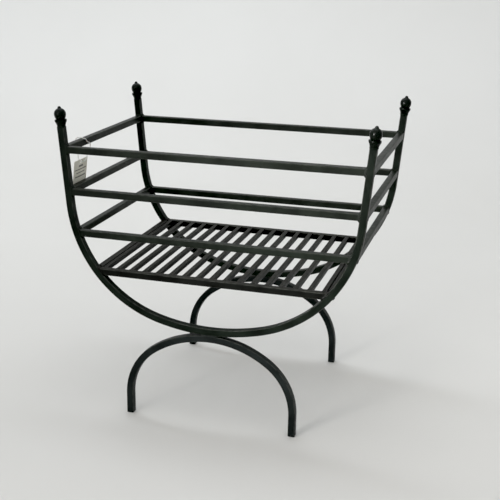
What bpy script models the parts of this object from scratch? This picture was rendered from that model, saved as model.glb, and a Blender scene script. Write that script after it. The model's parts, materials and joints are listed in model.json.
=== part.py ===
"""Firewood log rack: two U hoops on two leg arches, joined by rails, with a slatted grate between.

Metres, +Z up, +X to the right and +Y to the rear. The origin is on the floor under the middle of the rack.
Every bar is solid square steel with rounded corners. Pieces that are welded together keep a hair's gap.
"""

import math

import bmesh
import bpy
from mathutils import Vector

# Bar stock
HOOP_BAR = 0.0127
RAIL_BAR = 0.012
GRATE_BAR = 0.008
CORNER_SHARE = 0.13  # corner radius as a share of a bar's side
CORNER_STEPS = 2
SHARP_DEG = 50.0  # edges that turn more than this are shaded sharp
WELD_GAP = 0.0003
MITRE_GAP = 0.0006  # at an end cut along a curved bar

# Hoops: a shallow arc at the bottom, a tighter arc up each side, then a leg that leans outwards
DEPTH = 0.340  # from the front hoop's middle plane to the rear hoop's
HOOP_BOTTOM = 0.1773  # centre line
HOOP_TOP = 0.521
HOOP_ARCS = ((0.358, 15.2), (0.224, 84.9))  # (radius, heading at its end in degrees)

# Leg arches, upside down under the hoops
ARCH_ARCS = ((0.181, 35.6), (0.1114, 90.0))
STEP_DEG = 3.95  # longest turn between two sections of a bent bar

# Centre lines of the rails and of the grate's frame
RAIL_LEVELS = {"top": 0.482, "middle": 0.408, "lower": 0.3345}
GRATE_LEVEL = 0.267
GRATE_BARS = 17
GRATE_INSET = 0.012  # from a side rail's centre line to the outermost bar's

# Finials, measured from the end of the hoop upwards
FINIAL_SEGMENTS = 24
FOOT_RADIUS = 0.0074
FLARE_BOTTOM = 0.0015
FLARE_STEPS = 4
FLARE_POWER = 1.6  # above 1 the flare is hollow, like the mouth of a horn
COLLAR_RADIUS = 0.0104
COLLAR_BOTTOM = 0.0095
COLLAR_TOP = 0.0130
COLLAR_CHAMFER = 0.0008
NECK_RADIUS = 0.0080
NECK_HEIGHT = 0.0139
BALL_RADIUS = 0.0103
BALL_HEIGHT = 0.0220
UNDER_BALL_STEPS = 3
OVER_BALL_STEPS = 5
NIPPLE_RADIUS = 0.0031
NIPPLE_STEPS = 3
NIPPLE_TRIM = 0.0001  # the flat left at its tip
FINIAL_HEIGHT = 0.0355

# Swing tag on the top left rail, leaning on the middle one
CARD_WIDTH = 0.053
CARD_HEIGHT = 0.0565
CARD_THICKNESS = 0.0006
CARD_CENTRE_Y = -0.1137
CARD_LEAN_DEG = 6.0
CARD_CLEARANCE = 0.0005
HOLE_RADIUS = 0.0026
HOLE_DROP = 0.0045  # from the card's top edge to the hole's centre
HOLE_LEVEL = 0.4493
HOLE_SEGMENTS = 20
LOOP_RADIUS = 0.0008
LOOP_GAP = 0.0006
LOOP_STEPS = 6  # between two points of its route

# Finishes, as (colour, roughness)
PAINT = ((0.012, 0.014, 0.012), 0.38)
CARD = ((0.62, 0.61, 0.56), 0.7)
NYLON = ((0.72, 0.72, 0.68), 0.35)

ACROSS = Vector((0.0, 1.0, 0.0))


def clear_scene():
    for old in list(bpy.data.objects):
        bpy.data.objects.remove(old)


def new_material(name, finish):
    colour, roughness = finish
    material = bpy.data.materials.new(name)
    material.use_nodes = True
    shader = material.node_tree.nodes["Principled BSDF"]
    shader.inputs["Base Color"].default_value = (*colour, 1.0)
    shader.inputs["Roughness"].default_value = roughness
    shader.inputs["Metallic"].default_value = 0.0
    return material


def add_object(name, data, parent, location=(0.0, 0.0, 0.0), rotation=(0.0, 0.0, 0.0), finish=PAINT):
    """A new object with its own material, which sits on the object so that copies can share a mesh."""
    obj = bpy.data.objects.new(name, data)
    bpy.context.scene.collection.objects.link(obj)
    obj.location = location
    obj.rotation_euler = rotation
    obj.parent = parent
    if not data.materials:
        data.materials.append(None)
    obj.material_slots[0].link = "OBJECT"
    obj.material_slots[0].material = new_material(name + "_finish", finish)
    return obj


def add_empty(name, location=(0.0, 0.0, 0.0)):
    empty = bpy.data.objects.new(name, None)
    bpy.context.scene.collection.objects.link(empty)
    empty.location = location
    return empty


def skin(name, rings):
    """A closed mesh over a row of rings, each counter-clockwise as seen looking back along the row."""
    count = len(rings[0])
    points = [point for ring in rings for point in ring]
    last = len(points) - count
    faces = [tuple(reversed(range(count)))]
    for first in range(0, last, count):
        for i in range(count):
            j = (i + 1) % count
            faces.append((first + i, first + j, first + count + j, first + count + i))
    faces.append(tuple(range(last, len(points))))
    mesh = bpy.data.meshes.new(name)
    mesh.from_pydata(points, [], faces)
    mesh.shade_smooth()
    mesh.set_sharp_from_angle(angle=math.radians(SHARP_DEG))
    return mesh


def rounded_square(side):
    """The section of a bar as (across, up) vectors, counter-clockwise round its middle."""
    radius = side * CORNER_SHARE
    inner = side / 2 - radius
    section = []
    for quarter, (across, up) in enumerate(((1, 1), (-1, 1), (-1, -1), (1, -1))):
        for step in range(CORNER_STEPS + 1):
            angle = math.pi / 2 * (quarter + step / CORNER_STEPS)
            corner = Vector((across, up)) * inner
            section.append(corner + radius * Vector((math.cos(angle), math.sin(angle))))
    return section


def half_curve(start_height, arcs, turn, end_height):
    """(x, z, heading) along half of a bent bar, from its middle, where it is level, to its right end.

    The bar curves up for turn = 1 and down for turn = -1.
    """
    x, z, bend = 0.0, start_height, 0.0
    points = [(x, z, bend)]
    for radius, end_deg in arcs:
        sweep = math.radians(end_deg) - bend
        steps = math.ceil(math.degrees(sweep) / STEP_DEG)
        centre_x = x - radius * math.sin(bend)
        centre_z = z + turn * radius * math.cos(bend)
        for _ in range(steps):
            bend += sweep / steps
            x = centre_x + radius * math.sin(bend)
            z = centre_z - turn * radius * math.cos(bend)
            points.append((x, z, turn * bend))
    x += abs(end_height - z) / math.tan(bend)
    points.append((x, end_height, turn * bend))
    return points


def whole_curve(half):
    left = [(-x, z, -heading) for x, z, heading in reversed(half[1:])]
    return left + half


def bent_bar(name, curve, side):
    """A bar along a curve in the XZ plane, with square-cut ends."""
    rings = []
    for x, z, heading in curve:
        centre = Vector((x, 0.0, z))
        outward = Vector((-math.sin(heading), 0.0, math.cos(heading)))
        rings.append([centre + ACROSS * across + outward * up for across, up in rounded_square(side)])
    return skin(name, rings)


def cross_bar(name, half_length, side, slope):
    """A bar along X, each end cut to lie along a hoop whose leg leans outwards by slope per metre up."""
    rings = []
    for end in (-1, 1):
        section = rounded_square(side)
        rings.append([Vector((end * (half_length + slope * up), across, up)) for across, up in section])
    return skin(name, rings)


def long_bar(name, length, side):
    """A bar along Y with square-cut ends."""
    rings = []
    for end in (-1, 1):
        rings.append([Vector((-across, end * length / 2, up)) for across, up in rounded_square(side)])
    return skin(name, rings)


def hoop_at(half, height):
    """(x, slope) of the hoop's centre line at a height, where slope is how far it leans out per metre up."""
    for (x_low, z_low, bend_low), (x_high, z_high, bend_high) in zip(half, half[1:]):
        if z_low <= height <= z_high:
            share = (height - z_low) / (z_high - z_low)
            heading = bend_low + share * (bend_high - bend_low)
            return x_low + share * (x_high - x_low), 1.0 / math.tan(heading)
    raise ValueError("the hoop doesn't reach that height")


def circle(radius, count):
    """(across, up) pairs round a circle, counter-clockwise."""
    angles = [math.tau * i / count for i in range(count)]
    return [(radius * math.cos(angle), radius * math.sin(angle)) for angle in angles]


def arc(radius_across, radius_up, centre_up, start_up, end_up, steps):
    """(radius, height) pairs along an upright ellipse's outer side between two heights."""
    start = math.asin((start_up - centre_up) / radius_up)
    end = math.asin((end_up - centre_up) / radius_up)
    angles = [start + (end - start) * step / steps for step in range(steps + 1)]
    return [(radius_across * math.cos(angle), centre_up + radius_up * math.sin(angle)) for angle in angles]


def finial_profile():
    """(radius, height) pairs up the finial: foot, flare, collar, neck, ball and nipple."""
    flare = []
    for step in range(FLARE_STEPS + 1):
        share = step / FLARE_STEPS
        radius = FOOT_RADIUS + (COLLAR_RADIUS - FOOT_RADIUS) * share**FLARE_POWER
        flare.append((radius, FLARE_BOTTOM + (COLLAR_BOTTOM - FLARE_BOTTOM) * share))
    collar_shoulder = (COLLAR_RADIUS + NECK_RADIUS) / 2
    collar = [(COLLAR_RADIUS, COLLAR_TOP - COLLAR_CHAMFER), (collar_shoulder, COLLAR_TOP)]
    drop = BALL_HEIGHT - NECK_HEIGHT
    lower_height = drop / math.sqrt(1.0 - (NECK_RADIUS / BALL_RADIUS) ** 2)
    lower = arc(BALL_RADIUS, lower_height, BALL_HEIGHT, NECK_HEIGHT, BALL_HEIGHT, UNDER_BALL_STEPS)
    nipple_foot = BALL_HEIGHT + math.sqrt(BALL_RADIUS**2 - NIPPLE_RADIUS**2)
    upper = arc(BALL_RADIUS, BALL_RADIUS, BALL_HEIGHT, BALL_HEIGHT, nipple_foot, OVER_BALL_STEPS)
    dome = FINIAL_HEIGHT - NIPPLE_RADIUS
    nipple = arc(NIPPLE_RADIUS, NIPPLE_RADIUS, dome, dome, FINIAL_HEIGHT - NIPPLE_TRIM, NIPPLE_STEPS)
    return [(FOOT_RADIUS, 0.0), *flare, *collar, *lower, *upper[1:], *nipple]


def finial_mesh():
    rings = []
    for radius, height in finial_profile():
        rings.append([Vector((across, along, height)) for across, along in circle(radius, FINIAL_SEGMENTS)])
    return skin("finial", rings)


def make_hoops(parent):
    half = half_curve(HOOP_BOTTOM, HOOP_ARCS, 1, HOOP_TOP)
    mesh = bent_bar("hoop", whole_curve(half), HOOP_BAR)
    for place, y in (("front", -DEPTH / 2), ("rear", DEPTH / 2)):
        add_object(place + "_hoop", mesh, parent, location=(0.0, y, 0.0))
    return half


def make_leg_arches(parent):
    apex = HOOP_BOTTOM - HOOP_BAR - WELD_GAP
    mesh = bent_bar("leg_arch", whole_curve(half_curve(apex, ARCH_ARCS, -1, 0.0)), HOOP_BAR)
    for place, y in (("front", -DEPTH / 2), ("rear", DEPTH / 2)):
        add_object(place + "_leg_arch", mesh, parent, location=(0.0, y, 0.0))


def make_finials(parent, half):
    mesh = finial_mesh()
    end_x, end_z, heading = half[-1]
    lean = math.pi / 2 - heading
    for row, y in (("front", -DEPTH / 2), ("rear", DEPTH / 2)):
        for side, sign in (("left", -1), ("right", 1)):
            x = sign * (end_x + WELD_GAP * math.sin(lean))
            location = (x, y, end_z + WELD_GAP * math.cos(lean))
            add_object(f"finial_{row}_{side}", mesh, parent, location, rotation=(0.0, sign * lean, 0.0))


def make_frame(parent, half, names, level):
    """Four rails round the rack at one height: two across in the hoops' planes, two from hoop to hoop."""
    x, slope = hoop_at(half, level)
    clear = (HOOP_BAR / 2 + MITRE_GAP) * math.sqrt(1.0 + slope**2)
    across = cross_bar(names["front"], x - clear, RAIL_BAR, slope)
    along = long_bar(names["left"], DEPTH - HOOP_BAR - 2 * WELD_GAP, RAIL_BAR)
    add_object(names["front"], across, parent, location=(0.0, -DEPTH / 2, level))
    add_object(names["rear"], across, parent, location=(0.0, DEPTH / 2, level))
    add_object(names["left"], along, parent, location=(-x, 0.0, level))
    add_object(names["right"], along, parent, location=(x, 0.0, level))


def make_rails(parent, half):
    for level_name, level in RAIL_LEVELS.items():
        names = {place: f"{place}_{level_name}_rail" for place in ("front", "rear", "left", "right")}
        make_frame(parent, half, names, level)


def make_grate(parent, half):
    names = {place: f"grate_{place}_rail" for place in ("front", "rear", "left", "right")}
    make_frame(parent, half, names, GRATE_LEVEL)
    outermost = hoop_at(half, GRATE_LEVEL)[0] - GRATE_INSET
    height = GRATE_LEVEL + (RAIL_BAR - GRATE_BAR) / 2
    mesh = long_bar("grate_bar", DEPTH - RAIL_BAR - 2 * WELD_GAP, GRATE_BAR)
    for i in range(GRATE_BARS):
        x = outermost * (2 * i / (GRATE_BARS - 1) - 1)
        add_object(f"grate_bar_{i + 1:02d}", mesh, parent, location=(x, 0.0, height))


def card_mesh():
    """A card in the YZ plane with a punched hole, with the hole's centre at the origin."""
    side, top, bottom = CARD_WIDTH / 2, HOLE_DROP, HOLE_DROP - CARD_HEIGHT
    corners = ((side, top), (-side, top), (-side, bottom), (side, bottom))
    work = bmesh.new()
    edges = []
    for ring in (corners, circle(HOLE_RADIUS, HOLE_SEGMENTS)):
        points = [work.verts.new((-CARD_THICKNESS / 2, across, up)) for across, up in ring]
        edges += [work.edges.new((points[i - 1], points[i])) for i in range(len(points))]
    filled = bmesh.ops.triangle_fill(work, edges=edges, use_beauty=True)
    sheet = [item for item in filled["geom"] if isinstance(item, bmesh.types.BMFace)]
    raised = bmesh.ops.extrude_face_region(work, geom=sheet, use_keep_orig=True)
    top_points = [item for item in raised["geom"] if isinstance(item, bmesh.types.BMVert)]
    bmesh.ops.translate(work, verts=top_points, vec=(CARD_THICKNESS, 0.0, 0.0))
    bmesh.ops.recalc_face_normals(work, faces=work.faces)
    mesh = bpy.data.meshes.new("tag_card")
    work.to_mesh(mesh)
    work.free()
    return mesh


def hole_position(half):
    """Centre of the card's hole: the card leans on the middle left rail's outer top edge."""
    x, _ = hoop_at(half, RAIL_LEVELS["middle"])
    edge_x = -x - RAIL_BAR / 2
    edge_z = RAIL_LEVELS["middle"] + RAIL_BAR / 2
    lean = math.radians(CARD_LEAN_DEG)
    off = (CARD_CLEARANCE + CARD_THICKNESS / 2) / math.cos(lean)
    return Vector((edge_x - off + (HOLE_LEVEL - edge_z) * math.tan(lean), CARD_CENTRE_Y, HOLE_LEVEL))


def loop_curve(half, hole):
    """A closed nylon loop through the card's hole and slantwise round the top left rail.

    It leaves the hole inwards before it turns up, so that the card's top edge can tilt under it.
    """
    x, _ = hoop_at(half, RAIL_LEVELS["top"])
    level = RAIL_LEVELS["top"]
    reach = RAIL_BAR / 2 + LOOP_RADIUS + LOOP_GAP
    inner, outer = -x + reach, -x - reach
    low, high = level - reach, level + reach
    points = [
        (hole.x, hole.y, hole.z),
        (hole.x + 0.0055, hole.y + 0.004, hole.z + 0.001),
        (hole.x + 0.0060, hole.y + 0.015, hole.z + 0.012),
        (inner, hole.y + 0.032, low),
        (inner, hole.y + 0.020, level),
        (inner, hole.y + 0.009, high),
        (outer, hole.y + 0.006, high),
        (outer, hole.y + 0.010, level),
        (outer, hole.y + 0.012, low),
    ]
    curve = bpy.data.curves.new("tag_loop", "CURVE")
    curve.dimensions = "3D"
    curve.bevel_depth = LOOP_RADIUS
    curve.bevel_resolution = 1
    curve.resolution_u = LOOP_STEPS
    spline = curve.splines.new("BEZIER")
    spline.bezier_points.add(len(points) - 1)
    for knot, point in zip(spline.bezier_points, points):
        knot.co = point
        knot.handle_left_type = "AUTO"
        knot.handle_right_type = "AUTO"
    spline.use_cyclic_u = True
    return curve


def make_swing_tag(parent, half):
    hole = hole_position(half)
    pivot = add_empty("tag_pivot", hole)
    lean = math.radians(CARD_LEAN_DEG)
    add_object("tag_card", card_mesh(), pivot, rotation=(0.0, lean, 0.0), finish=CARD)
    add_object("tag_loop", loop_curve(half, hole), parent, finish=NYLON)


def main():
    clear_scene()
    rack = add_empty("rack")
    half = make_hoops(rack)
    make_leg_arches(rack)
    make_finials(rack, half)
    make_rails(rack, half)
    make_grate(rack, half)
    make_swing_tag(rack, half)


main()
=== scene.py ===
"""Looks for the firewood log rack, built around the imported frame.

Every bar is remade from a fine section along its CAD node's centre line. Weld fillets, turned finials and
the swing tag are modelled round them. Metres, +Z up, +Y to the rear.
"""

import json
import math

import bmesh
import bpy
from mathutils import Matrix, Vector, noise


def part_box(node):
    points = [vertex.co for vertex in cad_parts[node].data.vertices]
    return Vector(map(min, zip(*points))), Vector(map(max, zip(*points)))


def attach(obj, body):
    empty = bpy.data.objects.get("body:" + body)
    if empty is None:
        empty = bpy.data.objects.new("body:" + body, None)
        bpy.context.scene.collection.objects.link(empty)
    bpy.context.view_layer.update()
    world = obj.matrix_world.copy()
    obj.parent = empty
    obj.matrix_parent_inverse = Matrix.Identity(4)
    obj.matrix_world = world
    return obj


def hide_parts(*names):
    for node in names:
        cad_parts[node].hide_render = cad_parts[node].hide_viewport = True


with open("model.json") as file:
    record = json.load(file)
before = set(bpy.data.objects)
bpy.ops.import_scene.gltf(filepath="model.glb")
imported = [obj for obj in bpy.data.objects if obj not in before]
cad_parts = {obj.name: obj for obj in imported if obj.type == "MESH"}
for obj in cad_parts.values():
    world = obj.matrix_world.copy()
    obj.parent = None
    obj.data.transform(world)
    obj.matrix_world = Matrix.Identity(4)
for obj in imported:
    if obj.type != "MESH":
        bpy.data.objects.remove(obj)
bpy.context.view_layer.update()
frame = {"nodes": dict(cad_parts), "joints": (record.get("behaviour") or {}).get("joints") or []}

# The hoops' and arches' centre lines: (radius, heading at its end in degrees) for each arc
HOOP_ARCS = ((0.358, 15.2), (0.224, 84.9))
HOOP_TOP = 0.521
ARCH_ARCS = ((0.181, 35.6), (0.1114, 90.0))
BEND_STEP_DEG = 1.3  # longest turn between two sections of a bent bar
STATION_GAP = 0.012  # longest step between two sections of a straight bar

# Bars
CORNER_SHARE = 0.13  # corner radius as a share of a bar's side
CORNER_STEPS = 4
CORNERS = ((1, 1), (-1, 1), (-1, -1), (1, -1))
FOOT_ROUNDING = 0.0013
FOOT_STEPS = 4
SINK = 0.0002  # how far a welded end runs into its neighbour
MITRE_RUN = 0.008  # the part of a rail's end that is cut on the slant
WANDER = 0.00008  # how far a bar strays from its true line
WANDER_SCALE = 16.0
SHARP_DEG = 40.0  # edges that turn more than this are shaded sharp

# Weld beads. Sizes are (reach across, reach up, reach down, leg along the bar)
RAIL_BEAD = (0.0007, 0.0032, 0.0032, 0.0030)
TACK_BEAD = (0.0014, 0.0002, 0.0016, 0.0016)
BEAD_STEPS = 5
BEAD_POINTS = 96
TACK_POINTS = 40
BEAD_HOLLOW = 0.6  # 0 is a bulging bead, 1 a hollow fillet
BEAD_BURIED = 0.35  # share of the leg that is inside the neighbour
BEAD_TIP = (-0.15, 1.1)  # (spread, along) of the last ring, just under the bar's own surface
RIPPLE_PITCH = 0.0017
RIPPLE = 0.09  # share of the bead's size
LUMPS = 0.35  # share of the bead's size
LUMP_SCALE = 260.0

# The beads between a hoop's bottom and its arch's crown
CROWN_HALF = 0.0145  # half the bead's length
CROWN_STEPS = 26
CROWN_POINTS = 28
CROWN_PROUD = 0.0002
CROWN_COVER = 0.0016
CROWN_RIPPLE = 0.000072
CROWN_TAPER = 6  # the higher this power, the blunter the bead's ends
CROWN_ROUNDNESS = 0.35  # 1 is an oval section, 0 a square one
CROWN_LUMPS = 0.02

NOISE_SEED = 1  # without a seed, noise_vector starts from the clock
# Where each kind of piece starts in the noises, so that they don't all stray or swell alike
ARCH_SEED = 5.0
CROSS_RAIL_SEED = 10.0
SIDE_RAIL_SEED = 15.0
SEEDS_PER_LEVEL = 10
GRATE_BAR_SEED = 60.0
CORNER_WELD_SEED = 100.0
SECOND_BEAD_SEED = 0.5  # added for the second of a corner's two beads
TACK_SEED = 200.0

# Finials, measured from the end of the hoop upwards
FINIAL_SEGMENTS = 56
FOOT_RADIUS = 0.0074
FLARE_BOTTOM = 0.0015
FLARE_STEPS = 12
FLARE_POWER = 1.6  # above 1 the flare is hollow, like the mouth of a horn
COLLAR_RADIUS = 0.0104
COLLAR_BOTTOM = 0.0095
COLLAR_TOP = 0.0130
COLLAR_ROUNDING = 0.0009
COLLAR_STEPS = 8
COLLAR_SUPPORT = 0.35  # share of the collar's height at which a ring keeps its lower edge crisp
NECK_RADIUS = 0.0080
NECK_HEIGHT = 0.0139
NECK_FILLET = ((0.0004, 0.0001), (0.0, 0.0005))  # (beyond the neck's radius, above the collar)
BALL_RADIUS = 0.0103
BALL_HEIGHT = 0.0220
UNDER_BALL_STEPS = 12
OVER_BALL_STEPS = 16
NIPPLE_RADIUS = 0.0031
NIPPLE_STEPS = 10
NIPPLE_FILLET = 0.0008  # how far the fillet at its foot spreads over the ball
NIPPLE_FILLET_MIDDLE = (0.0002, 0.0005)  # (beyond the nipple's radius, above the fillet's foot)
NIPPLE_TRIM = 0.00004  # the flat left at its tip
FINIAL_HEIGHT = 0.0355

# The bead under a finial, from the top down: (height, how square it is, how far it stands proud)
FINIAL_BEAD = (
    (0.0016, 0.0, -0.0001),
    (0.0009, 0.0, 0.0003),
    (0.0002, 0.3, 0.0004),
    (-0.0006, 0.8, 0.0003),
    (-0.0015, 1.0, 0.0001),
    (-0.0022, 1.0, -0.0003),
)
FINIAL_BEAD_LUMPS = 0.025

# Swing tag
CARD_HEIGHT = 0.0565
CARD_THICKNESS = 0.00045
CARD_LEAN_DEG = 6.0
CARD_CORNER = 0.0018
CARD_CORNER_STEPS = 4
CARD_CUTS = 16  # strips across the card and down it
CARD_CURL = 0.0011
TOP_CURL = 0.3  # share of the sideways curl that is there at the card's top edge
BOTTOM_CURL = 0.5  # how far the bottom edge curls, as a share of the sideways curl
HOLE_RADIUS = 0.0026
HOLE_DROP = 0.0045  # from the card's top edge to the hole's centre
HOLE_POINTS = 32
LOOP_RADIUS = 0.0008
LOOP_GAP = 0.0006
LOOP_STEPS = 12  # between two points of its route
LOOP_ROUNDNESS = 3
LOCK_POINT = 3  # the point of the loop's route that the lock is on
LOCK_SEGMENTS = 20
# The lock's rings: (radius, place along the loop)
LOCK_PROFILE = (
    (0.0005, -0.0024),
    (0.00135, -0.0023),
    (0.00145, -0.0019),
    (0.0011, -0.0015),
    (0.0010, 0.0),
    (0.0011, 0.0015),
    (0.0015, 0.0019),
    (0.0014, 0.0023),
    (0.0005, 0.0024),
)

# Finishes. Paints are (colour, roughness, dust and painted top light on faces that look up, specular level)
PAINTS = {
    "hoop_paint": ((0.0108, 0.0142, 0.0112), 0.36, 0.02, 0.10),
    # A lighter copy of the hoops' black: painted light that brightens the legs and the crown beads
    "leg_paint": ((0.0150, 0.0176, 0.0170), 0.36, 0.02, 0.10),
    "rail_paint": ((0.0140, 0.0172, 0.0136), 0.38, 0.06, 0.10),
    # The grate's bars get the most: their top faces are lightened partly by dust and partly by painted top
    # light
    "grate_paint": ((0.0084, 0.0090, 0.0080), 0.42, 0.22, 0.10),
    "finial_paint": ((0.0066, 0.0088, 0.0068), 0.26, 0.02, 0.15),
}
BLOTCH_DARK = 0.7  # the paint's darkest and lightest blotches, as shares of its colour
BLOTCH_LIGHT = 1.35
GLOSS_STRAY = (-0.05, 0.06)  # how far the roughness strays from the paint's own
# The light grey on rubbed edges is partly wear and partly a painted highlight along the edges
WORN_AND_HIGHLIGHT_COLOUR = (0.070, 0.074, 0.065, 1.0)
WORN_AND_HIGHLIGHT_SHARE = 0.75  # how much of it shows where an edge is fully rubbed and highlighted
# Dust on faces that look up, which also stands in for light from above: painted top light
DUST_AND_TOP_LIGHT_COLOUR = (0.105, 0.095, 0.078, 1.0)
DUST_AND_TOP_LIGHT_SLOPES = (0.55, 0.98)  # upward part of the normal where dust and painted top light start, and where they are full
DUST_DULLS = 0.5  # roughness that full dust adds
CARD_TONES = ((0.68, 0.655, 0.56, 1.0), (0.76, 0.74, 0.65, 1.0))
# The grey bars on the card: (height, half height, half width)
PRINTED_BARS = (
    (-0.0075, 0.0017, 0.0085),
    (-0.0135, 0.0009, 0.0225),
    (-0.0195, 0.0009, 0.0165),
    (-0.0265, 0.0012, 0.0200),
)
PRINT_COLOUR = (0.08, 0.08, 0.075, 1.0)
PRINT_SHARE = 0.8
NYLON_TONES = ((0.62, 0.62, 0.57, 1.0), (0.78, 0.78, 0.74, 1.0))
STAGE_TONES = ((0.665, 0.652, 0.622, 1.0), (0.705, 0.693, 0.665, 1.0))

# Studio
STAGE_FRONT = -4.0
STAGE_BACK = 1.5  # where the floor starts to bend up into the wall
STAGE_BEND = 1.0
STAGE_BEND_STEPS = 24
STAGE_HEIGHT = 3.2
STAGE_HALF_WIDTH = 4.0
AMBIENT_COLOUR = (0.94, 0.97, 1.0, 1.0)
AMBIENT_STRENGTH = 0.60
BLACK_POINT = 0.0125  # linear level that is shown as black
# Lights: (name, place, target, size, power, colour, spread in degrees)
LIGHTS = (
    ("key", (-0.9, -2.5, 2.2), (0.0, 0.0, 0.4), (2.0, 1.6), 13.0, (1.0, 0.99, 0.96), 180.0),
    ("side", (-0.7, -2.1, 0.7), (0.50, 0.0, 0.42), (0.8, 0.8), 2.6, (1.0, 0.99, 0.97), 24.0),
    ("overhead", (-0.8, 0.1, 2.9), (-0.4, 0.1, 0.0), (5.0, 5.0), 30.0, (1.0, 0.955, 0.895), 180.0),
    ("wall_wash", (-1.4, 0.9, 3.0), (-1.0, 2.6, 1.2), (4.2, 0.8), 50.0, (0.85, 0.92, 1.0), 180.0),
)
CAMERA_PLACE = (0.50776, -1.68817, 0.82394)
CAMERA_TURN_DEG = (16.870, 17.402, -0.650)  # to the left, downwards and about its own axis
LENS = 70.847
LENS_SHIFT = (0.0263, 0.0050)
SENSOR_WIDTH = 36.0

RAIL_LEVELS = ("top", "middle", "lower")
ROWS = (("front", -1), ("rear", 1))
SIDES = (("left", -1), ("right", 1))
RIGHT = Vector((1.0, 0.0, 0.0))
BACK = Vector((0.0, 1.0, 0.0))
UP = Vector((0.0, 0.0, 1.0))


def centre(node):
    low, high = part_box(node)
    return (low + high) / 2


def extent(node):
    low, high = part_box(node)
    return high - low


HOOP_BAR = extent("front_hoop").y
RAIL_BAR = extent("front_top_rail").z
GRATE_BAR = extent("grate_bar_01").z
HOOP_Y = centre("rear_hoop").y
HOOP_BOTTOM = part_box("front_hoop")[0].z + HOOP_BAR / 2
ARCH_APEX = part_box("front_leg_arch")[1].z - HOOP_BAR / 2
HINGE = Vector(frame["joints"][0]["pos_m"])
CARD_WIDTH = extent("tag_card").y


# Materials


class Nodes:
    """A short way to write a material's nodes. An input is a value or another node's output."""

    # The Mix node's colour sockets share their names with its other sockets, so they go by number
    MIX_FIRST, MIX_SECOND, MIX_RESULT = 6, 7, 2

    def __init__(self, name):
        self.material = bpy.data.materials.new(name)
        self.material.use_nodes = True
        self.tree = self.material.node_tree
        self.shader = self.tree.nodes["Principled BSDF"]

    def put(self, node, inputs):
        for socket, value in inputs.items():
            if isinstance(value, bpy.types.NodeSocket):
                self.tree.links.new(value, node.inputs[socket])
            else:
                node.inputs[socket].default_value = value

    def add(self, kind, output=0, settings=None, **inputs):
        node = self.tree.nodes.new("ShaderNode" + kind)
        for setting, value in (settings or {}).items():
            setattr(node, setting, value)
        self.put(node, {socket.replace("_", " "): value for socket, value in inputs.items()})
        return node.outputs[output]

    def math(self, operation, first, second=0.0, clamp=False):
        node = self.tree.nodes.new("ShaderNodeMath")
        node.operation = operation
        node.use_clamp = clamp
        self.put(node, {0: first, 1: second})
        return node.outputs[0]

    def mix(self, factor, first, second):
        node = self.tree.nodes.new("ShaderNodeMix")
        node.data_type = "RGBA"
        self.put(node, {"Factor": factor, self.MIX_FIRST: first, self.MIX_SECOND: second})
        return node.outputs[self.MIX_RESULT]

    def remap(self, value, low, high, to_low, to_high):
        return self.add("MapRange", Value=value, From_Min=low, From_Max=high, To_Min=to_low, To_Max=to_high)

    def stretch(self, cloud, half_range, low=0.0, high=1.0):
        """Stretches a noise's middle, half_range either side of 0.5, so that it runs from low to high."""
        return self.remap(cloud, 0.5 - half_range, 0.5 + half_range, low, high)

    def place(self):
        return self.add("TexCoord", output="Object")

    def noise(self, scale, detail, roughness=0.5):
        return self.add("TexNoise", Vector=self.place(), Scale=scale, Detail=detail, Roughness=roughness)

    def bump(self, height, depth, below=None):
        inputs = {"Height": height, "Distance": depth}
        if below:
            inputs["Normal"] = below
        return self.add("Bump", **inputs)


def paint(name, colour, roughness, dust_and_top_light, specular):
    """Satin black paint on hot-rolled steel: orange peel, soft mill scale, worn edges with a painted edge
    highlight, top faces lightened by dust and painted top light.
    """
    nodes = Nodes(name)
    blotch = nodes.noise(scale=24.0, detail=3.0)
    mill_scale = nodes.noise(scale=95.0, detail=2.0)
    peel = nodes.noise(scale=520.0, detail=1.0)
    fleck = nodes.noise(scale=1500.0, detail=1.0)
    dark = (*[BLOTCH_DARK * part for part in colour], 1.0)
    light = (*[BLOTCH_LIGHT * part for part in colour], 1.0)
    base = nodes.mix(nodes.stretch(blotch, half_range=0.15), dark, light)
    # Edges are lightened by wear and by a painted edge highlight
    edge = nodes.add("Attribute", output="Fac", settings={"attribute_name": "edge_wear_and_highlight"})
    worn_and_highlit = nodes.math("MULTIPLY", edge, nodes.stretch(mill_scale, half_range=0.12, low=0.25), clamp=True)
    base = nodes.mix(nodes.math("MULTIPLY", worn_and_highlit, WORN_AND_HIGHLIGHT_SHARE), base, WORN_AND_HIGHLIGHT_COLOUR)
    facing = nodes.add("SeparateXYZ", output="Z", Vector=nodes.add("NewGeometry", output="Normal"))
    # Faces that look up are lightened: partly dust, partly painted top light
    dust_and_top_light_mask = nodes.remap(facing, *DUST_AND_TOP_LIGHT_SLOPES, 0.0, dust_and_top_light)
    dust_and_top_light_mask = nodes.math("MULTIPLY", dust_and_top_light_mask, nodes.stretch(blotch, half_range=0.2, low=0.5))
    dust_and_top_light_mask = nodes.math("MULTIPLY", dust_and_top_light_mask, nodes.stretch(fleck, half_range=0.1, low=0.6))
    base = nodes.mix(dust_and_top_light_mask, base, DUST_AND_TOP_LIGHT_COLOUR)
    smooth, rough = (roughness + stray for stray in GLOSS_STRAY)
    gloss = nodes.stretch(mill_scale, half_range=0.2, low=smooth, high=rough)
    gloss = nodes.math("ADD", gloss, nodes.math("MULTIPLY", dust_and_top_light_mask, DUST_DULLS), clamp=True)
    under = nodes.bump(mill_scale, depth=0.00022)
    over = nodes.bump(peel, depth=0.00005, below=under)
    nodes.put(nodes.shader, {"Base Color": base, "Roughness": gloss, "Normal": over})
    nodes.put(nodes.shader, {"Specular IOR Level": specular})
    return nodes.material


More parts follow.
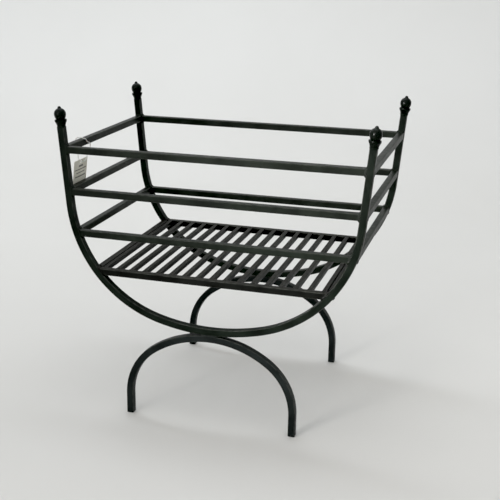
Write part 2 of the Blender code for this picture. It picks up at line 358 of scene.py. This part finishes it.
def card_material():
    """Uncoated off-white card with fibre grain, and four plain grey bars on its inner face."""
    nodes = Nodes("swing_tag_card")
    fibre = nodes.noise(scale=900.0, detail=3.0, roughness=0.7)
    cloud = nodes.noise(scale=45.0, detail=2.0)
    base = nodes.mix(nodes.stretch(cloud, half_range=0.15), *CARD_TONES)
    place = nodes.place()
    spread = nodes.math("ABSOLUTE", nodes.add("SeparateXYZ", output="Y", Vector=place))
    height = nodes.add("SeparateXYZ", output="Z", Vector=place)
    printed = 0.0
    for middle, half_height, half_width in PRINTED_BARS:
        rise = nodes.math("ABSOLUTE", nodes.math("SUBTRACT", height, middle))
        in_height = nodes.math("LESS_THAN", rise, half_height)
        in_width = nodes.math("LESS_THAN", spread, half_width)
        printed = nodes.math("ADD", printed, nodes.math("MULTIPLY", in_height, in_width), clamp=True)
    inwards = nodes.add("SeparateXYZ", output="X", Vector=nodes.add("TexCoord", output="Normal"))
    printed = nodes.math("MULTIPLY", printed, nodes.math("GREATER_THAN", inwards, 0.5))
    base = nodes.mix(nodes.math("MULTIPLY", printed, PRINT_SHARE), base, PRINT_COLOUR)
    grain = nodes.bump(fibre, depth=0.00004)
    nodes.put(nodes.shader, {"Base Color": base, "Roughness": 0.78, "Normal": grain})
    return nodes.material


def nylon_material():
    nodes = Nodes("swing_tag_nylon")
    cloud = nodes.noise(scale=300.0, detail=1.0)
    base = nodes.mix(cloud, *NYLON_TONES)
    rough = nodes.stretch(cloud, half_range=0.2, low=0.26, high=0.40)
    grain = nodes.bump(cloud, depth=0.00003)
    nodes.put(nodes.shader, {"Base Color": base, "Roughness": rough, "Normal": grain})
    nodes.put(nodes.shader, {"Subsurface Weight": 0.15, "Subsurface Scale": 0.001})
    return nodes.material


def stage_material():
    nodes = Nodes("studio_floor")
    cloud = nodes.noise(scale=2.2, detail=3.0)
    nodes.put(nodes.shader, {"Base Color": nodes.mix(cloud, *STAGE_TONES), "Roughness": 0.6})
    return nodes.material


MATERIALS = {name: paint(name, *look) for name, look in PAINTS.items()}
MATERIALS["tag_card"] = card_material()
MATERIALS["tag_loop"] = nylon_material()


# Shapes


def loft(work, rings, wear_and_highlight=None):
    """Adds a closed solid over a row of rings to a bmesh. The last argument gives each point's wear, which
    also sets its painted edge highlight.
    """
    layer = work.verts.layers.float.get("edge_wear_and_highlight") or work.verts.layers.float.new("edge_wear_and_highlight")
    rows = [[work.verts.new(point) for point in ring] for ring in rings]
    if wear_and_highlight:
        for row in rows:
            for vert, worn_and_highlit in zip(row, wear_and_highlight):
                vert[layer] = worn_and_highlit
    count = len(rows[0])
    for low, high in zip(rows, rows[1:]):
        for i in range(count):
            j = (i + 1) % count
            work.faces.new((low[i], low[j], high[j], high[i]))
    work.faces.new(rows[0][::-1])
    work.faces.new(rows[-1])


def make_piece(name, slot, work, nodes=()):
    """Turns a bmesh into a piece that rides on the rack. nodes are the CAD nodes that it stands for."""
    bmesh.ops.recalc_face_normals(work, faces=work.faces)
    mesh = bpy.data.meshes.new(name)
    work.to_mesh(mesh)
    work.free()
    mesh.shade_smooth()
    mesh.set_sharp_from_angle(angle=math.radians(SHARP_DEG))
    obj = bpy.data.objects.new(name, mesh)
    bpy.context.scene.collection.objects.link(obj)
    flat_sides = obj.modifiers.new("flat_sides", "WEIGHTED_NORMAL")
    flat_sides.keep_sharp = True
    settle(obj, slot, nodes)


def settle(obj, slot, nodes=(), body="rack"):
    """Gives a piece its material and its body, and hides the CAD nodes that it stands for."""
    obj.data.materials.append(MATERIALS[slot])
    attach(obj, body)
    if nodes:
        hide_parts(*nodes)


def half_curve(start_height, arcs, turn, end_height):
    """(x, z, heading) along half of a bent bar, from its middle, where it is level, to its right end.

    The bar curves up for turn = 1 and down for turn = -1.
    """
    x, z, bend = 0.0, start_height, 0.0
    points = [(x, z, bend)]
    for radius, end_deg in arcs:
        sweep = math.radians(end_deg) - bend
        steps = math.ceil(math.degrees(sweep) / BEND_STEP_DEG)
        centre_x = x - radius * math.sin(bend)
        centre_z = z + turn * radius * math.cos(bend)
        for _ in range(steps):
            bend += sweep / steps
            x = centre_x + radius * math.sin(bend)
            z = centre_z - turn * radius * math.cos(bend)
            points.append((x, z, turn * bend))
    rise = end_height - z
    run = abs(rise) / math.tan(bend)
    steps = math.ceil(abs(rise) / STATION_GAP)
    for step in range(1, steps + 1):
        points.append((x + run * step / steps, z + rise * step / steps, turn * bend))
    return points


HOOP_HALF = half_curve(HOOP_BOTTOM, HOOP_ARCS, 1, HOOP_TOP)
ARCH_HALF = half_curve(ARCH_APEX, ARCH_ARCS, -1, 0.0)


def hoop_at(height):
    """(x, heading) of the hoop's centre line at a height."""
    for (x_low, z_low, bend_low), (x_high, z_high, bend_high) in zip(HOOP_HALF, HOOP_HALF[1:]):
        if z_low <= height <= z_high:
            share = (height - z_low) / (z_high - z_low)
            return x_low + share * (x_high - x_low), bend_low + share * (bend_high - bend_low)
    raise ValueError("the hoop doesn't reach that height")


def section(side, inset=0.0):
    """The outline of a bar as (across, up) pairs."""
    inner = side / 2 - side * CORNER_SHARE
    radius = side * CORNER_SHARE - inset
    points = []
    for quarter, (across, up) in enumerate(CORNERS):
        for step in range(CORNER_STEPS + 1):
            angle = math.pi / 2 * (quarter + step / CORNER_STEPS)
            points.append((across * inner + radius * math.cos(angle), up * inner + radius * math.sin(angle)))
    return points


# How rubbed each point of a section is, most at a corner's middle; it also sets the painted edge highlight
# there
CORNER_WEAR_AND_HIGHLIGHT = [math.sin(math.pi * step / CORNER_STEPS) for step in range(CORNER_STEPS + 1)] * len(CORNERS)


def wander(point, seed):
    """A bar's tiny stray from its true line, the same every run."""
    return noise.noise_vector(point * WANDER_SCALE + RIGHT * seed) * WANDER


def bar_ring(place, across_axis, up_axis, side, inset=0.0):
    return [place + across_axis * across + up_axis * up for across, up in section(side, inset)]


def rounded_foot(place, across_axis, up_axis, side, along):
    """Rings that round a bar's end over. along points out of the bar's end."""
    rings = []
    for step in range(FOOT_STEPS + 1):
        angle = math.pi / 2 * step / FOOT_STEPS
        back = FOOT_ROUNDING * (1.0 - math.sin(angle))
        inset = FOOT_ROUNDING * (1.0 - math.cos(angle))
        rings.append(bar_ring(place - along * back, across_axis, up_axis, side, inset))
    return rings


def make_bar(node, slot, rings):
    work = bmesh.new()
    loft(work, rings, CORNER_WEAR_AND_HIGHLIGHT)
    make_piece(node + "_steel", slot, work, [node])


def bent_bar(node, slot, half, y, seed, rounded_feet=False):
    """A bar bent in the plane at y, from its left end to its right end."""
    curve = [(-x, z, -heading) for x, z, heading in reversed(half[1:])] + half
    rings = []
    for x, z, heading in curve:
        outward = Vector((-math.sin(heading), 0.0, math.cos(heading)))
        place = Vector((x, y, z))
        rings.append(bar_ring(place + wander(place, seed), BACK, outward, HOOP_BAR))
    if rounded_feet:
        for end, (x, z, heading) in ((0, curve[0]), (-1, curve[-1])):
            outward = Vector((-math.sin(heading), 0.0, math.cos(heading)))
            foot = rounded_foot(Vector((x, y, z)), BACK, outward, HOOP_BAR, -UP)
            rings = foot[::-1] + rings[1:] if end == 0 else rings[:-1] + foot
    make_bar(node, slot, rings)


def cross_bar(node, slot, seed):
    """A bar along X whose ends are cut on the slant to lie against the hoop's inner faces."""
    middle, side = centre(node), extent(node).z
    x, heading = hoop_at(middle.z)
    slope = 1.0 / math.tan(heading)
    reach = x - (HOOP_BAR / 2 - SINK) / math.sin(heading)
    inner = reach - MITRE_RUN
    steps = math.ceil(2 * inner / STATION_GAP)
    stations = [(-reach, -slope)] + [(inner * (2 * step / steps - 1), 0.0) for step in range(steps + 1)]
    rings = []
    for along, slant in stations + [(reach, slope)]:
        place = Vector((along, middle.y, middle.z))
        rings.append(bar_ring(place + wander(place, seed), BACK, UP + RIGHT * slant, side))
    make_bar(node, slot, rings)


def long_bar(node, slot, x, reach, seed):
    """A bar along Y, from -reach to reach."""
    height, side = centre(node).z, extent(node).z
    steps = math.ceil(2 * reach / STATION_GAP)
    rings = []
    for step in range(steps + 1):
        place = Vector((x, reach * (2 * step / steps - 1), height))
        rings.append(bar_ring(place + wander(place, seed), RIGHT, UP, side))
    make_bar(node, slot, rings)


def frames():
    """(pattern of its rails' names, label, slot) for each of the four frames of rails round the rack."""
    found = [(f"{{}}_{level}_rail", level, "rail_paint") for level in RAIL_LEVELS]
    return found + [("grate_{}_rail", "grate", "grate_paint")]


def grate_bars():
    return sorted(node for node in frame["nodes"] if node.startswith("grate_bar_"))


def make_bars():
    for seed, (row, sign) in enumerate(ROWS):
        y = sign * HOOP_Y
        bent_bar(row + "_hoop", "hoop_paint", HOOP_HALF, y, seed)
        bent_bar(row + "_leg_arch", "leg_paint", ARCH_HALF, y, ARCH_SEED + seed, rounded_feet=True)
    reach = HOOP_Y - HOOP_BAR / 2 + SINK
    for level, (pattern, _, slot) in enumerate(frames()):
        x, _ = hoop_at(centre(pattern.format("front")).z)
        first_seed = SEEDS_PER_LEVEL * level
        for seed, (row, _) in enumerate(ROWS, first_seed):
            cross_bar(pattern.format(row), slot, CROSS_RAIL_SEED + seed)
        for seed, (side, sign) in enumerate(SIDES, first_seed):
            long_bar(pattern.format(side), slot, sign * x, reach, SIDE_RAIL_SEED + seed)
    for seed, node in enumerate(grate_bars()):
        long_bar(node, "grate_paint", centre(node).x, HOOP_Y - RAIL_BAR / 2 + SINK, GRATE_BAR_SEED + seed)


# Welds


def even_outline(side, count):
    """(across, up, normal across, normal up) at even steps round a bar's section."""
    radius = side * CORNER_SHARE
    flat = side - 2 * radius
    quarter_run = flat + radius * math.pi / 2
    rows = []
    for i in range(count):
        quarter, along = divmod(4 * quarter_run * i / count, quarter_run)
        if along < flat:
            across, up, bend = side / 2, along - flat / 2, 0.0
        else:
            bend = (along - flat) / radius
            across = flat / 2 + radius * math.cos(bend)
            up = flat / 2 + radius * math.sin(bend)
        turned = Matrix.Rotation(math.pi / 2 * quarter, 2)
        rows.append((*(turned @ Vector((across, up))), *(turned @ Vector((math.cos(bend), math.sin(bend))))))
    return rows


def bead_profile():
    """(spread, along) pairs from inside the neighbour to just under the bar's own surface."""
    rows = [(1.0, -BEAD_BURIED)]
    for step in range(BEAD_STEPS + 1):
        angle = math.pi / 2 * step / BEAD_STEPS
        hollow = Vector((1.0 - math.sin(angle), 1.0 - math.cos(angle)))
        bulging = Vector((math.cos(angle), math.sin(angle)))
        rows.append(tuple(bulging.lerp(hollow, BEAD_HOLLOW)))
    return rows + [BEAD_TIP]


def add_bead(work, face, out, spread_across, spread_up, side, sizes, count, seed):
    """A weld bead round a bar's end.

    face(across, up) is where that point of the bar's outline meets its neighbour, and out is the way the bar
    runs from there. The bead spreads over the neighbour along spread_across and spread_up.
    """
    reach_across, reach_up, reach_down, leg = sizes
    rings = []
    for spread, along in bead_profile():
        shows = 0.0 < spread and 0.0 <= along < 1.0
        ring = []
        for i, (across, up, normal_across, normal_up) in enumerate(even_outline(side, count)):
            base = face(across, up)
            reach = reach_up if normal_up > 0 else reach_down
            step = spread_across * (normal_across * reach_across) + spread_up * (normal_up * reach)
            ripple = RIPPLE * math.sin(math.tau * 4 * side * i / count / RIPPLE_PITCH)
            lump = LUMPS * noise.noise(base * LUMP_SCALE + RIGHT * seed)
            swell = 1.0 + ripple + lump if shows else 1.0
            ring.append(base + step * (spread * swell) + out * (leg * along * swell))
        rings.append(ring)
    loft(work, rings)


def weld_corner(work, level, row_sign, sign, seed):
    """The two beads where a cross rail and a side rail meet a hoop."""
    x, heading = hoop_at(level)
    slope = 1.0 / math.tan(heading)
    tangent = Vector((sign * math.cos(heading), 0.0, math.sin(heading)))
    outward = Vector((math.sin(heading), 0.0, -sign * math.cos(heading)))
    y = row_sign * HOOP_Y
    inner_x = sign * (x - HOOP_BAR / 2 / math.sin(heading))
    inner_y = y - row_sign * HOOP_BAR / 2

    def on_inner_face(across, up):
        return Vector((inner_x + sign * slope * up, y + across, level + up))

    def on_side_face(across, up):
        return Vector((sign * x + across, inner_y, level + up))

    def bead(face, out, spread_across, bead_seed):
        add_bead(work, face, out, spread_across, tangent, RAIL_BAR, RAIL_BEAD, BEAD_POINTS, bead_seed)

    bead(on_inner_face, -sign * RIGHT, BACK, seed)
    bead(on_side_face, -row_sign * BACK, outward, seed + SECOND_BEAD_SEED)


def make_corner_welds():
    seed = CORNER_WELD_SEED
    for pattern, label, slot in frames():
        level = centre(pattern.format("front")).z
        for row, row_sign in ROWS:
            for side, sign in SIDES:
                work = bmesh.new()
                weld_corner(work, level, row_sign, sign, seed)
                make_piece(f"weld_{label}_{row}_{side}", slot, work)
                seed += 1.0


def make_grate_tacks():
    """Small beads at both ends of the grate's bars."""
    for row, row_sign in ROWS:
        work = bmesh.new()
        y = row_sign * (HOOP_Y - RAIL_BAR / 2)
        for seed, node in enumerate(grate_bars()):
            middle = centre(node)

            def on_rail(across, up, middle=middle):
                return Vector((middle.x + across, y, middle.z + up))

            out = -row_sign * BACK
            add_bead(work, on_rail, out, RIGHT, UP, GRATE_BAR, TACK_BEAD, TACK_POINTS, TACK_SEED + seed)
        make_piece(f"weld_grate_bars_{row}", "grate_paint", work)


def crown_ring(x, y, seed):
    """A section, at x, of the bead between the hoop and the arch that stand at y."""
    hoop_radius, arch_radius = HOOP_ARCS[0][0], ARCH_ARCS[0][0]
    above = HOOP_BOTTOM + hoop_radius - math.sqrt((hoop_radius + HOOP_BAR / 2) ** 2 - x**2)
    below = ARCH_APEX - arch_radius + math.sqrt((arch_radius + HOOP_BAR / 2) ** 2 - x**2)
    fade = math.sqrt(max(0.0, 1.0 - (x / CROWN_HALF) ** CROWN_TAPER))
    ripple = CROWN_RIPPLE * math.sin(math.tau * x / RIPPLE_PITCH)
    half_y = HOOP_BAR / 2 - CROWN_COVER + fade * (CROWN_COVER + CROWN_PROUD + ripple)
    half_z = (above - below) / 2 + CROWN_COVER * fade
    ring = []
    for i in range(CROWN_POINTS):
        angle = math.tau * i / CROWN_POINTS
        across = math.copysign(abs(math.cos(angle)) ** CROWN_ROUNDNESS, math.cos(angle))
        lump = 1.0 + CROWN_LUMPS * noise.noise(Vector((x, across, seed)) * LUMP_SCALE)
        ring.append(Vector((x, y + half_y * across * lump, (above + below) / 2 + half_z * math.sin(angle))))
    return ring


def make_crown_welds():
    """The bead that fills the narrow wedge between each hoop's bottom and its arch's crown."""
    places = [CROWN_HALF * (2 * step / CROWN_STEPS - 1) for step in range(CROWN_STEPS + 1)]
    for seed, (row, sign) in enumerate(ROWS):
        work = bmesh.new()
        loft(work, [crown_ring(x, sign * HOOP_Y, seed) for x in places])
        make_piece(f"weld_crown_{row}", "leg_paint", work)


# Finials


def arc(radius_across, radius_up, centre_up, start_up, end_up, steps):
    """(radius, height) pairs along an upright ellipse's outer side between two heights."""
    start = math.asin((start_up - centre_up) / radius_up)
    end = math.asin((end_up - centre_up) / radius_up)
    angles = [start + (end - start) * step / steps for step in range(steps + 1)]
    return [(radius_across * math.cos(angle), centre_up + radius_up * math.sin(angle)) for angle in angles]


def flare_profile():
    pairs = []
    for step in range(FLARE_STEPS + 1):
        share = step / FLARE_STEPS
        radius = FOOT_RADIUS + (COLLAR_RADIUS - FOOT_RADIUS) * share**FLARE_POWER
        pairs.append((radius, FLARE_BOTTOM + (COLLAR_BOTTOM - FLARE_BOTTOM) * share))
    return pairs


def collar_profile():
    pairs = [(COLLAR_RADIUS, COLLAR_BOTTOM + COLLAR_SUPPORT * (COLLAR_TOP - COLLAR_BOTTOM))]
    for step in range(1, COLLAR_STEPS + 1):
        angle = math.pi / 2 * step / COLLAR_STEPS
        radius = COLLAR_RADIUS - COLLAR_ROUNDING * (1.0 - math.cos(angle))
        pairs.append((radius, COLLAR_TOP - COLLAR_ROUNDING * (1.0 - math.sin(angle))))
    return pairs


def finial_profile():
    """(radius, height) pairs up the finial: foot, flare, collar, neck, ball and nipple."""
    neck = [(NECK_RADIUS + out, COLLAR_TOP + rise) for out, rise in NECK_FILLET]
    lower_height = (BALL_HEIGHT - NECK_HEIGHT) / math.sqrt(1.0 - (NECK_RADIUS / BALL_RADIUS) ** 2)
    lower = arc(BALL_RADIUS, lower_height, BALL_HEIGHT, NECK_HEIGHT, BALL_HEIGHT, UNDER_BALL_STEPS)
    fillet_foot = BALL_HEIGHT + math.sqrt(BALL_RADIUS**2 - (NIPPLE_RADIUS + NIPPLE_FILLET) ** 2)
    upper = arc(BALL_RADIUS, BALL_RADIUS, BALL_HEIGHT, BALL_HEIGHT, fillet_foot, OVER_BALL_STEPS)
    out, rise = NIPPLE_FILLET_MIDDLE
    fillet = (NIPPLE_RADIUS + out, fillet_foot + rise)
    dome = FINIAL_HEIGHT - NIPPLE_RADIUS
    nipple = arc(NIPPLE_RADIUS, NIPPLE_RADIUS, dome, dome, FINIAL_HEIGHT - NIPPLE_TRIM, NIPPLE_STEPS)
    body = [(FOOT_RADIUS, -SINK), *flare_profile(), *collar_profile(), *neck]
    return [*body, *lower, *upper[1:], fillet, *nipple]


def make_finials():
    end_x, end_z, heading = HOOP_HALF[-1]
    lean = math.pi / 2 - heading
    for row, row_sign in ROWS:
        for side, sign in SIDES:
            base = Vector((sign * end_x, row_sign * HOOP_Y, end_z))
            turn = Matrix.Rotation(sign * lean, 3, "Y")
            rings = []
            for radius, height in finial_profile():
                ring = []
                for i in range(FINIAL_SEGMENTS):
                    angle = math.tau * i / FINIAL_SEGMENTS
                    point = Vector((radius * math.cos(angle), radius * math.sin(angle), height))
                    ring.append(base + turn @ point)
                rings.append(ring)
            work = bmesh.new()
            loft(work, rings)
            make_piece(f"finial_{row}_{side}_steel", "finial_paint", work, [f"finial_{row}_{side}"])
            add_finial_weld(row, side, base, turn)


def add_finial_weld(row, side, base, turn):
    """The bead that carries the finial's round foot over to the square bar."""
    square = even_outline(HOOP_BAR, FINIAL_SEGMENTS)
    rings = []
    for height, squareness, proud in FINIAL_BEAD:
        ring = []
        for across, up, normal_across, normal_up in square:
            corner = Vector((across, up))
            round_point = corner.normalized() * (FOOT_RADIUS + proud)
            square_point = corner + Vector((normal_across, normal_up)) * proud
            point = round_point.lerp(square_point, squareness)
            lump = 1.0 + FINIAL_BEAD_LUMPS * noise.noise(Vector((*point, height)) * LUMP_SCALE + base)
            ring.append(base + turn @ Vector((*(point * lump), height)))
        rings.append(ring)
    work = bmesh.new()
    loft(work, rings)
    make_piece(f"weld_finial_{row}_{side}", "hoop_paint", work)


# Swing tag


def card_outline():
    """(y, z) round the card, with rounded corners and the hole's centre at the origin."""
    half = CARD_WIDTH / 2 - CARD_CORNER
    top, bottom = HOLE_DROP - CARD_CORNER, HOLE_DROP - CARD_HEIGHT + CARD_CORNER
    points = []
    for quarter, (y, z) in enumerate(((half, top), (-half, top), (-half, bottom), (half, bottom))):
        for step in range(CARD_CORNER_STEPS + 1):
            angle = math.pi / 2 * (quarter + step / CARD_CORNER_STEPS)
            points.append((y + CARD_CORNER * math.cos(angle), z + CARD_CORNER * math.sin(angle)))
    return points


def cut_card(work):
    """Cuts the flat card into strips both ways, so that it can curl."""
    side, bottom = CARD_WIDTH / 2, HOLE_DROP - CARD_HEIGHT
    for normal, low, high in ((BACK, -side, side), (UP, bottom, HOLE_DROP)):
        for step in range(1, CARD_CUTS):
            place = normal * (low + (high - low) * step / CARD_CUTS)
            everything = work.verts[:] + work.edges[:] + work.faces[:]
            bmesh.ops.bisect_plane(work, geom=everything, plane_co=place, plane_no=normal)


def make_card():
    work = bmesh.new()
    hole = [math.tau * i / HOLE_POINTS for i in range(HOLE_POINTS)]
    edges = []
    for ring in (card_outline(), [(HOLE_RADIUS * math.cos(a), HOLE_RADIUS * math.sin(a)) for a in hole]):
        points = [work.verts.new((0.0, y, z)) for y, z in ring]
        edges += [work.edges.new((points[i - 1], points[i])) for i in range(len(points))]
    bmesh.ops.triangle_fill(work, edges=edges, use_beauty=True)
    cut_card(work)
    for vert in work.verts:
        across = vert.co.y / (CARD_WIDTH / 2)
        down = (HOLE_DROP - vert.co.z) / CARD_HEIGHT
        sideways = across**2 * (TOP_CURL + (1.0 - TOP_CURL) * down)
        vert.co.x = -CARD_CURL * (sideways + BOTTOM_CURL * down**3)
    bmesh.ops.recalc_face_normals(work, faces=work.faces)
    mesh = bpy.data.meshes.new("swing_tag_card")
    work.to_mesh(mesh)
    work.free()
    mesh.shade_smooth()
    obj = bpy.data.objects.new("swing_tag_card", mesh)
    bpy.context.scene.collection.objects.link(obj)
    solid = obj.modifiers.new("thickness", "SOLIDIFY")
    solid.thickness = CARD_THICKNESS
    solid.offset = 0.0
    obj.location = HINGE
    obj.rotation_euler = (0.0, math.radians(CARD_LEAN_DEG), 0.0)
    settle(obj, "tag_card", ["tag_card"], body="swing_tag")


def loop_points():
    """The nylon loop's route through the hole and slantwise round the top left rail."""
    middle = centre("left_top_rail")
    reach = RAIL_BAR / 2 + LOOP_RADIUS + LOOP_GAP
    inner, outer = middle.x + reach, middle.x - reach
    low, high = middle.z - reach, middle.z + reach
    return [
        (HINGE.x, HINGE.y, HINGE.z),
        (HINGE.x + 0.0055, HINGE.y + 0.004, HINGE.z + 0.001),
        (HINGE.x + 0.0060, HINGE.y + 0.015, HINGE.z + 0.012),
        (inner, HINGE.y + 0.032, low),
        (inner, HINGE.y + 0.020, middle.z),
        (inner, HINGE.y + 0.009, high),
        (outer, HINGE.y + 0.006, high),
        (outer, HINGE.y + 0.010, middle.z),
        (outer, HINGE.y + 0.012, low),
    ]


def make_loop():
    curve = bpy.data.curves.new("swing_tag_loop", "CURVE")
    curve.dimensions = "3D"
    curve.bevel_depth = LOOP_RADIUS
    curve.bevel_resolution = LOOP_ROUNDNESS
    curve.resolution_u = LOOP_STEPS
    spline = curve.splines.new("BEZIER")
    points = loop_points()
    spline.bezier_points.add(len(points) - 1)
    for knot, point in zip(spline.bezier_points, points):
        knot.co = point
        knot.handle_left_type = "AUTO"
        knot.handle_right_type = "AUTO"
    spline.use_cyclic_u = True
    obj = bpy.data.objects.new("swing_tag_loop", curve)
    bpy.context.scene.collection.objects.link(obj)
    settle(obj, "tag_loop", ["tag_loop"])


def make_lock():
    """The barbed lock that closes the loop: a short barrel with a flange at each end."""
    before, at, after = (Vector(point) for point in loop_points()[LOCK_POINT - 1:LOCK_POINT + 2])
    along = (after - before).normalized()
    side = along.cross(RIGHT).normalized()
    other = along.cross(side)
    rings = []
    for radius, place in LOCK_PROFILE:
        ring = []
        for i in range(LOCK_SEGMENTS):
            angle = math.tau * i / LOCK_SEGMENTS
            spoke = side * math.cos(angle) + other * math.sin(angle)
            ring.append(at + along * place + spoke * radius)
        rings.append(ring)
    work = bmesh.new()
    loft(work, rings)
    make_piece("swing_tag_lock", "tag_loop", work)


# Studio


def make_stage():
    """A pale floor that sweeps up into a wall behind the rack."""
    profile = [(STAGE_FRONT, 0.0), (STAGE_BACK, 0.0)]
    for step in range(1, STAGE_BEND_STEPS + 1):
        angle = math.pi / 2 * step / STAGE_BEND_STEPS
        y = STAGE_BACK + STAGE_BEND * math.sin(angle)
        profile.append((y, STAGE_BEND * (1.0 - math.cos(angle))))
    profile.append((STAGE_BACK + STAGE_BEND, STAGE_HEIGHT))
    points = [(x, y, z) for y, z in profile for x in (-STAGE_HALF_WIDTH, STAGE_HALF_WIDTH)]
    faces = [(2 * i, 2 * i + 1, 2 * i + 3, 2 * i + 2) for i in range(len(profile) - 1)]
    mesh = bpy.data.meshes.new("studio_floor")
    mesh.from_pydata(points, [], faces)
    mesh.shade_smooth()
    mesh.materials.append(stage_material())
    obj = bpy.data.objects.new("studio_floor", mesh)
    bpy.context.scene.collection.objects.link(obj)


def set_tones(view):
    """Plain display transform, with the blacks a little deeper as on a contrasty studio print."""
    view.view_transform = "Standard"
    view.use_curve_mapping = True
    view.curve_mapping.black_level = (BLACK_POINT, BLACK_POINT, BLACK_POINT)
    view.curve_mapping.update()


def add_area_light(name, place, target, size, power, colour, spread_deg):
    light = bpy.data.lights.new(name, "AREA")
    light.shape = "RECTANGLE"
    light.size, light.size_y = size
    light.energy = power
    light.color = colour
    light.spread = math.radians(spread_deg)
    obj = bpy.data.objects.new(name, light)
    obj.location = place
    obj.rotation_euler = (Vector(target) - Vector(place)).to_track_quat("-Z", "Y").to_euler()
    bpy.context.scene.collection.objects.link(obj)


def make_lights():
    world = bpy.data.worlds.new("studio")
    world.use_nodes = True
    background = world.node_tree.nodes["Background"]
    background.inputs["Color"].default_value = AMBIENT_COLOUR
    background.inputs["Strength"].default_value = AMBIENT_STRENGTH
    bpy.context.scene.world = world
    for light in LIGHTS:
        add_area_light(*light)


def make_camera():
    yaw, pitch, roll = (math.radians(angle) for angle in CAMERA_TURN_DEG)
    forward = Vector((-math.sin(yaw) * math.cos(pitch), math.cos(yaw) * math.cos(pitch), -math.sin(pitch)))
    right = Vector((math.cos(yaw), math.sin(yaw), 0.0))
    down = forward.cross(right)
    tilted_right = right * math.cos(roll) + down * math.sin(roll)
    tilted_down = down * math.cos(roll) - right * math.sin(roll)
    camera = bpy.data.cameras.new("camera")
    camera.sensor_width = SENSOR_WIDTH
    camera.lens = LENS
    camera.shift_x, camera.shift_y = LENS_SHIFT
    obj = bpy.data.objects.new("camera", camera)
    axes = Matrix((tilted_right, -tilted_down, -forward)).transposed()
    obj.matrix_world = Matrix.Translation(CAMERA_PLACE) @ axes.to_4x4()
    bpy.context.scene.collection.objects.link(obj)
    bpy.context.scene.camera = obj


noise.seed_set(NOISE_SEED)
set_tones(bpy.context.scene.view_settings)
make_camera()
make_bars()
make_corner_welds()
make_grate_tacks()
make_crown_welds()
make_finials()
make_card()
make_loop()
make_lock()
make_stage()
make_lights()

bpy.context.view_layer.update()
